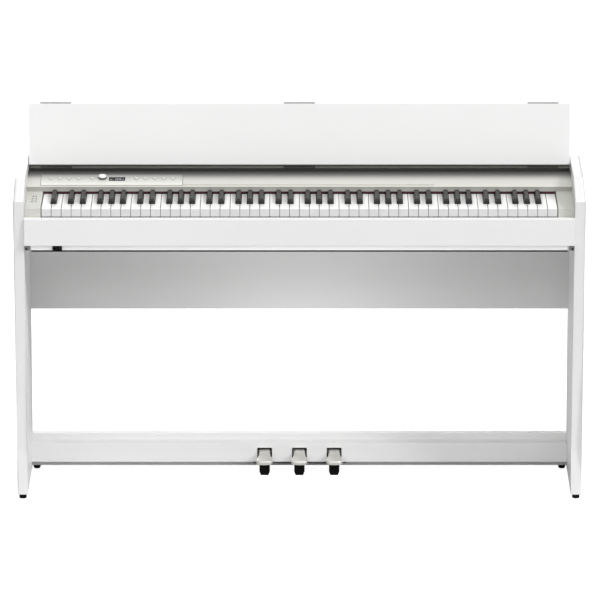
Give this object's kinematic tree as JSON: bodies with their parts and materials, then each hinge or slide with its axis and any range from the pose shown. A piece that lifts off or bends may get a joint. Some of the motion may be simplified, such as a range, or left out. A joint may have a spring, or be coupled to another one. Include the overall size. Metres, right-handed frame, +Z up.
{
  "type": "digital piano on stand",
  "caption": "Slim white digital piano on panel legs: full keyboard, sloping control fascia, folding lid that stands as a music rest, and foot pedals in a low stretcher.",
  "frame": {"origin": "middle of the footprint, on the floor", "axes": "+Z up, the player sits on the -Y side, +X towards the treble end"},
  "size_m": [1.36, 0.345, 0.9257],
  "materials": {
    "white_lacquered_board": "white satin lacquer over fibreboard",
    "cream_moulding": "fine matt texture",
    "cream_metal": "warm grey-white satin coat",
    "white_key_plastic": "ivory-feel satin",
    "black_key_plastic": "fine matt grain",
    "red_felt": "pressed felt",
    "button_plastic": "soft matt",
    "display_glass": "dark gloss window",
    "circuit": "solder resist",
    "grey_steel": "plain zinc-plated",
    "pedal_metal": "satin nickel plate",
    "black_steel": "black powder coat",
    "black_plastic": "moulded, fine texture",
    "black_rubber": "matt moulded rubber"
  },
  "bodies": {
    "cabinet": {"back_board": "white_lacquered_board", "cheek_blocks": "cream_moulding", "circuit_board": "circuit", "control_plate": "cream_metal", "display_window": "display_glass", "fascia": "cream_metal", "feet": "black_rubber", "fixed_hinge_leaves": "grey_steel", "key_felt": "red_felt", "key_frame": "black_steel", "key_slip": "white_lacquered_board", "keybed": "white_lacquered_board", "modesty_panel": "white_lacquered_board", "panel_screws": "grey_steel", "pedal_axle": "grey_steel", "pedal_box": "white_lacquered_board", "pedal_chassis": "black_steel", "pedal_springs": "grey_steel", "phones_box": "black_plastic", "power_inlet": "black_plastic", "score_ledge": "cream_metal", "side_panel_left": "white_lacquered_board", "side_panel_right": "white_lacquered_board", "socket_plate": "black_plastic", "speaker_grilles": "black_plastic", "speakers": "black_plastic", "stretcher": "white_lacquered_board", "support_boots": "black_rubber", "top_board": "white_lacquered_board"},
    "lid": {"lid_panel": "white_lacquered_board", "lid_hinge_leaves": "grey_steel"},
    "flap": {"lid_flap": "white_lacquered_board", "flap_hinge_leaves": "grey_steel", "lid_bumpers": "black_rubber"},
    "dial": {"volume_dial": "button_plastic"},
    "key_c": {"keys_c": "white_key_plastic"},
    "key_c_sharp": {"keys_c_sharp": "black_key_plastic"},
    "key_d": {"keys_d": "white_key_plastic"},
    "key_d_sharp": {"keys_d_sharp": "black_key_plastic"},
    "key_e": {"keys_e": "white_key_plastic"},
    "key_f": {"keys_f": "white_key_plastic"},
    "key_f_sharp": {"keys_f_sharp": "black_key_plastic"},
    "key_g": {"keys_g": "white_key_plastic"},
    "key_g_sharp": {"keys_g_sharp": "black_key_plastic"},
    "key_a": {"keys_a": "white_key_plastic"},
    "key_a_sharp": {"keys_a_sharp": "black_key_plastic"},
    "key_b": {"keys_b": "white_key_plastic"},
    "pedal_left_lever": {"pedal_left": "pedal_metal"},
    "pedal_middle_lever": {"pedal_middle": "pedal_metal"},
    "pedal_right_lever": {"pedal_right": "pedal_metal"},
    "power_button_cap": {"power_button": "button_plastic"},
    "volume_down_button_cap": {"volume_down_button": "button_plastic"},
    "volume_up_button_cap": {"volume_up_button": "button_plastic"},
    "brilliance_button_cap": {"brilliance_button": "button_plastic"},
    "function_button_cap": {"function_button": "button_plastic"},
    "piano_tone_button_cap": {"piano_tone_button": "button_plastic"},
    "other_tone_button_cap": {"other_tone_button": "button_plastic"},
    "song_button_cap": {"song_button": "button_plastic"},
    "metronome_button_cap": {"metronome_button": "button_plastic"},
    "split_button_cap": {"split_button": "button_plastic"}
  },
  "joints": [
    {"name": "lid_hinge", "type": "hinge", "parent": "cabinet", "child": "lid", "pos_m": [0, 0.1065, 0.776], "axis": [1, 0, 0], "range_deg": [0, 98]},
    {"name": "flap_fold", "type": "hinge", "parent": "lid", "child": "flap", "pos_m": [0, 0.13325, 0.92321], "axis": [1, 0, 0], "range_deg": [0, 198.1]},
    {"name": "volume_turn", "type": "hinge", "parent": "cabinet", "child": "dial", "pos_m": [-0.4735, 0.03695, 0.76287], "axis": [0, -0.1726, 0.985], "range_deg": [-140, 140]},
    {"name": "key_c_press", "type": "hinge", "parent": "cabinet", "child": "key_c", "pos_m": [0, 0.0725, 0.714], "axis": [1, 0, 0], "range_deg": [0, 2.5], "stiffness_Nm_per_rad": 14.4, "springref_deg": -8.59},
    {"name": "key_c_sharp_press", "type": "hinge", "parent": "cabinet", "child": "key_c_sharp", "pos_m": [0, 0.0725, 0.714], "axis": [1, 0, 0], "range_deg": [0, 2.5], "stiffness_Nm_per_rad": 12.6, "springref_deg": -8.59},
    {"name": "key_d_press", "type": "hinge", "parent": "cabinet", "child": "key_d", "pos_m": [0, 0.0725, 0.714], "axis": [1, 0, 0], "range_deg": [0, 2.5], "stiffness_Nm_per_rad": 12.6, "springref_deg": -8.59},
    {"name": "key_d_sharp_press", "type": "hinge", "parent": "cabinet", "child": "key_d_sharp", "pos_m": [0, 0.0725, 0.714], "axis": [1, 0, 0], "range_deg": [0, 2.5], "stiffness_Nm_per_rad": 12.6, "springref_deg": -8.59},
    {"name": "key_e_press", "type": "hinge", "parent": "cabinet", "child": "key_e", "pos_m": [0, 0.0725, 0.714], "axis": [1, 0, 0], "range_deg": [0, 2.5], "stiffness_Nm_per_rad": 12.6, "springref_deg": -8.59},
    {"name": "key_f_press", "type": "hinge", "parent": "cabinet", "child": "key_f", "pos_m": [0, 0.0725, 0.714], "axis": [1, 0, 0], "range_deg": [0, 2.5], "stiffness_Nm_per_rad": 12.6, "springref_deg": -8.59},
    {"name": "key_f_sharp_press", "type": "hinge", "parent": "cabinet", "child": "key_f_sharp", "pos_m": [0, 0.0725, 0.714], "axis": [1, 0, 0], "range_deg": [0, 2.5], "stiffness_Nm_per_rad": 12.6, "springref_deg": -8.59},
    {"name": "key_g_press", "type": "hinge", "parent": "cabinet", "child": "key_g", "pos_m": [0, 0.0725, 0.714], "axis": [1, 0, 0], "range_deg": [0, 2.5], "stiffness_Nm_per_rad": 12.6, "springref_deg": -8.59},
    {"name": "key_g_sharp_press", "type": "hinge", "parent": "cabinet", "child": "key_g_sharp", "pos_m": [0, 0.0725, 0.714], "axis": [1, 0, 0], "range_deg": [0, 2.5], "stiffness_Nm_per_rad": 12.6, "springref_deg": -8.59},
    {"name": "key_a_press", "type": "hinge", "parent": "cabinet", "child": "key_a", "pos_m": [0, 0.0725, 0.714], "axis": [1, 0, 0], "range_deg": [0, 2.5], "stiffness_Nm_per_rad": 14.4, "springref_deg": -8.59},
    {"name": "key_a_sharp_press", "type": "hinge", "parent": "cabinet", "child": "key_a_sharp", "pos_m": [0, 0.0725, 0.714], "axis": [1, 0, 0], "range_deg": [0, 2.5], "stiffness_Nm_per_rad": 14.4, "springref_deg": -8.59},
    {"name": "key_b_press", "type": "hinge", "parent": "cabinet", "child": "key_b", "pos_m": [0, 0.0725, 0.714], "axis": [1, 0, 0], "range_deg": [0, 2.5], "stiffness_Nm_per_rad": 14.4, "springref_deg": -8.59},
    {"name": "pedal_left_press", "type": "hinge", "parent": "cabinet", "child": "pedal_left_lever", "pos_m": [-0.085, 0.1365, 0.05], "axis": [1, 0, 0], "range_deg": [0, 6.5], "stiffness_Nm_per_rad": 8, "springref_deg": -7.45},
    {"name": "pedal_middle_press", "type": "hinge", "parent": "cabinet", "child": "pedal_middle_lever", "pos_m": [0, 0.1365, 0.05], "axis": [1, 0, 0], "range_deg": [0, 6.5], "stiffness_Nm_per_rad": 8, "springref_deg": -7.45},
    {"name": "pedal_right_press", "type": "hinge", "parent": "cabinet", "child": "pedal_right_lever", "pos_m": [0.085, 0.1365, 0.05], "axis": [1, 0, 0], "range_deg": [0, 6.5], "stiffness_Nm_per_rad": 8, "springref_deg": -7.45},
    {"name": "power_button_push", "type": "slide", "parent": "cabinet", "child": "power_button_cap", "axis": [0, 0.1726, -0.985], "range_m": [0, 0.0008], "stiffness_N_per_m": 400, "springref_m": -0.002},
    {"name": "volume_down_button_push", "type": "slide", "parent": "cabinet", "child": "volume_down_button_cap", "axis": [0, 0.1726, -0.985], "range_m": [0, 0.0008], "stiffness_N_per_m": 400, "springref_m": -0.002},
    {"name": "volume_up_button_push", "type": "slide", "parent": "cabinet", "child": "volume_up_button_cap", "axis": [0, 0.1726, -0.985], "range_m": [0, 0.0008], "stiffness_N_per_m": 400, "springref_m": -0.002},
    {"name": "brilliance_button_push", "type": "slide", "parent": "cabinet", "child": "brilliance_button_cap", "axis": [0, 0.1726, -0.985], "range_m": [0, 0.0008], "stiffness_N_per_m": 400, "springref_m": -0.002},
    {"name": "function_button_push", "type": "slide", "parent": "cabinet", "child": "function_button_cap", "axis": [0, 0.1726, -0.985], "range_m": [0, 0.0008], "stiffness_N_per_m": 400, "springref_m": -0.002},
    {"name": "piano_tone_button_push", "type": "slide", "parent": "cabinet", "child": "piano_tone_button_cap", "axis": [0, 0.1726, -0.985], "range_m": [0, 0.0008], "stiffness_N_per_m": 400, "springref_m": -0.002},
    {"name": "other_tone_button_push", "type": "slide", "parent": "cabinet", "child": "other_tone_button_cap", "axis": [0, 0.1726, -0.985], "range_m": [0, 0.0008], "stiffness_N_per_m": 400, "springref_m": -0.002},
    {"name": "song_button_push", "type": "slide", "parent": "cabinet", "child": "song_button_cap", "axis": [0, 0.1726, -0.985], "range_m": [0, 0.0008], "stiffness_N_per_m": 400, "springref_m": -0.002},
    {"name": "metronome_button_push", "type": "slide", "parent": "cabinet", "child": "metronome_button_cap", "axis": [0, 0.1726, -0.985], "range_m": [0, 0.0008], "stiffness_N_per_m": 400, "springref_m": -0.002},
    {"name": "split_button_push", "type": "slide", "parent": "cabinet", "child": "split_button_cap", "axis": [0, 0.1726, -0.985], "range_m": [0, 0.0008], "stiffness_N_per_m": 400, "springref_m": -0.002}
  ]
}
